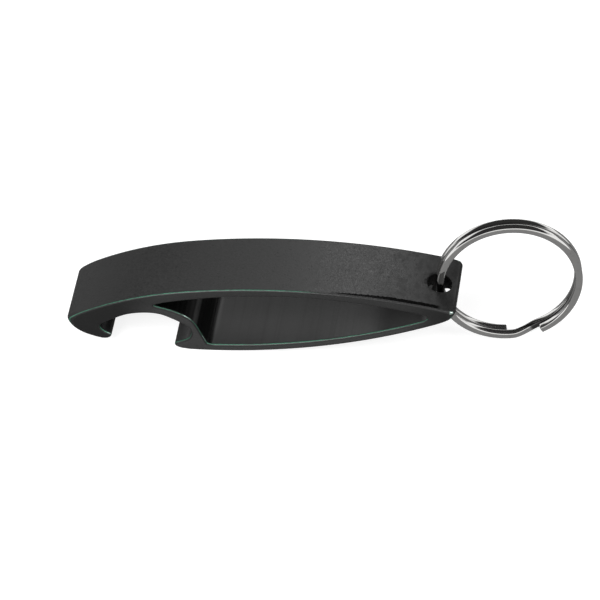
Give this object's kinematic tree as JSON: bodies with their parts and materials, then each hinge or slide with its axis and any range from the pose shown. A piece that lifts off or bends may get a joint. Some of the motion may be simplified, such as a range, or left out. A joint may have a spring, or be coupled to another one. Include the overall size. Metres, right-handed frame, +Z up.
{
  "type": "keychain bottle opener",
  "caption": "Pocket bottle opener cut from hollow arched aluminium profile, with a hooked crown-cap mouth and a split ring through its tail.",
  "frame": {"origin": "on the surface that the opener stands on, under the middle of its bounding box", "axes": "+X along the opener from the hook to the ring, +Y across it, in the direction in which the profile was extruded, +Z up through the arched back"},
  "size_m": [0.0908, 0.0128, 0.0254],
  "materials": {
    "anodised_black": "matte bead-blasted black anodising",
    "nickel_plate": "bright polished nickel plate"
  },
  "bodies": {
    "opener": {"opener_body": "anodised_black"},
    "ring": {"split_ring": "nickel_plate"}
  },
  "joints": [
    {"name": "ring_swivel", "type": "hinge", "parent": "opener", "child": "ring", "pos_m": [0.02086, 0, 0.0115], "axis": [0, 0, 1], "range_deg": [-150, 130]}
  ]
}
